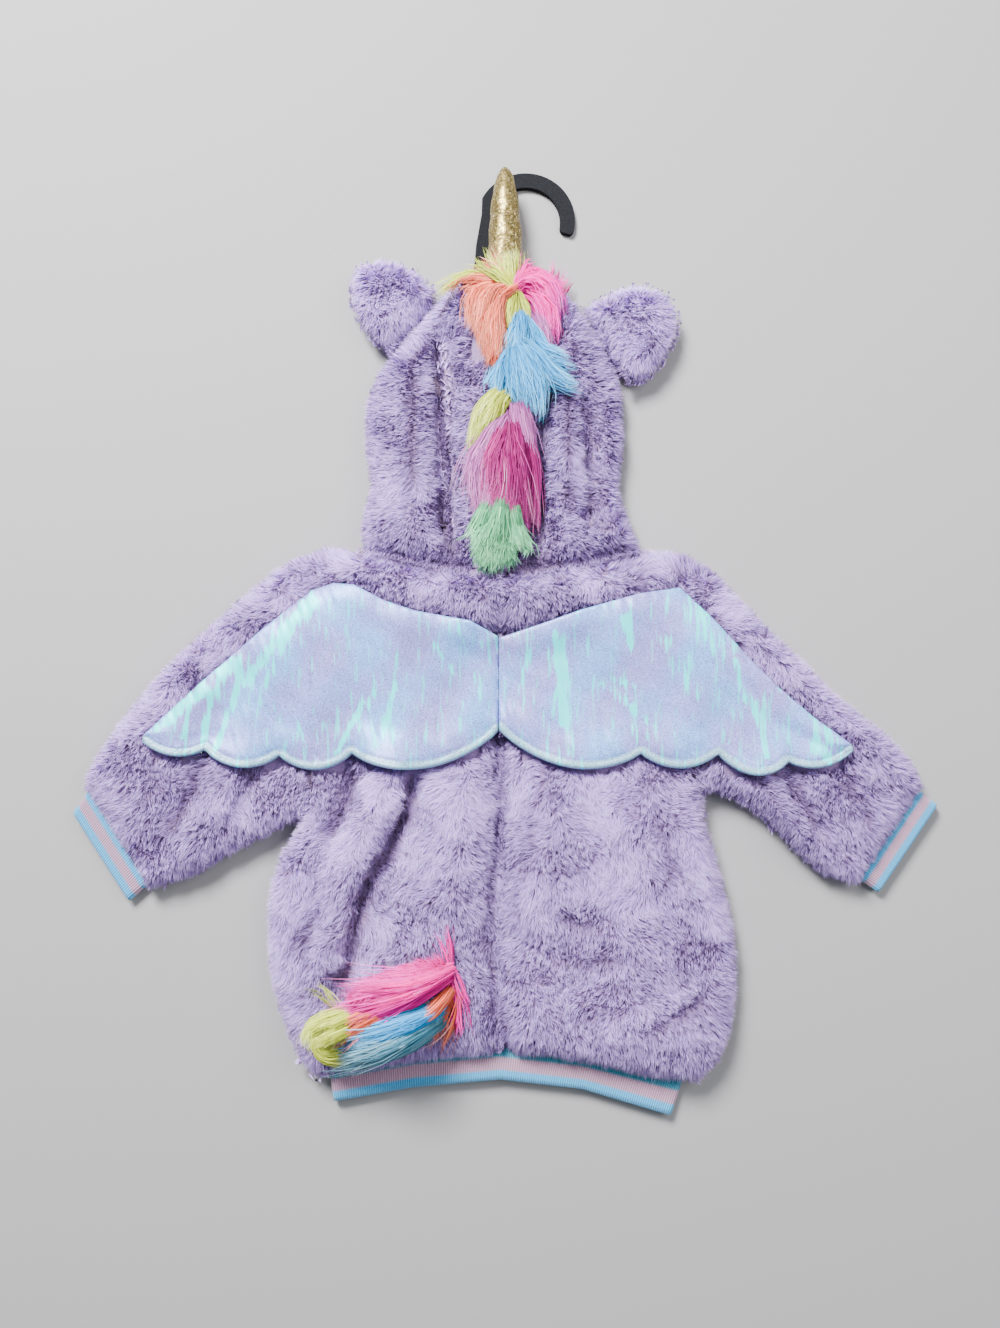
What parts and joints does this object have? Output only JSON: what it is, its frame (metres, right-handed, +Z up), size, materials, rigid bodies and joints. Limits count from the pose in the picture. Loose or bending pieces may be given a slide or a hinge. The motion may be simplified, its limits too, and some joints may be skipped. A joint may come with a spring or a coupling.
{
  "type": "hooded unicorn costume on a hanger",
  "caption": "Hooded plush unicorn costume for a toddler, laid flat back up on its hanger, with padded wings, horn, ears, fur mane and tail, and striped rib cuffs and hem.",
  "frame": {"origin": "centre of the footprint on the surface that the costume lies on", "axes": "+Z up from the surface, out of the garment's back; +Y from the hem to the horn; +X to the right of the view from above"},
  "size_m": [0.577, 0.6421, 0.0499],
  "materials": {
    "plush": "lavender long plush pile with light tips",
    "wing_cloth": "pale iridescent foil cloth over padding, aqua glints",
    "horn_cloth": "gold metallic glitter cloth",
    "rib_knit": "rib knit striped in blue and pinkish mauve",
    "hanger_plastic": "flat black moulded plastic",
    "fur_coral": "long silky fur",
    "fur_pink": "long silky fur",
    "fur_lime": "long silky fur",
    "fur_blue": "long silky fur",
    "fur_magenta": "long silky fur",
    "fur_green": "long silky fur"
  },
  "bodies": {
    "root": {"back_left": "plush", "back_right": "plush", "front": "plush", "sleeve_left": "plush", "sleeve_right": "plush", "hood_left": "plush", "hood_right": "plush", "hood_centre": "plush", "ear_left": "plush", "ear_right": "plush", "wing_left": "wing_cloth", "wing_right": "wing_cloth", "horn": "horn_cloth", "cuff_left": "rib_knit", "cuff_right": "rib_knit", "hem_band": "rib_knit", "hanger": "hanger_plastic", "mane_coral": "fur_coral", "mane_pink": "fur_pink", "mane_lime_upper": "fur_lime", "mane_lime": "fur_lime", "mane_blue": "fur_blue", "mane_magenta": "fur_magenta", "mane_green": "fur_green", "tail_pink": "fur_pink", "tail_blue": "fur_blue", "tail_lime": "fur_lime"}
  },
  "joints": []
}
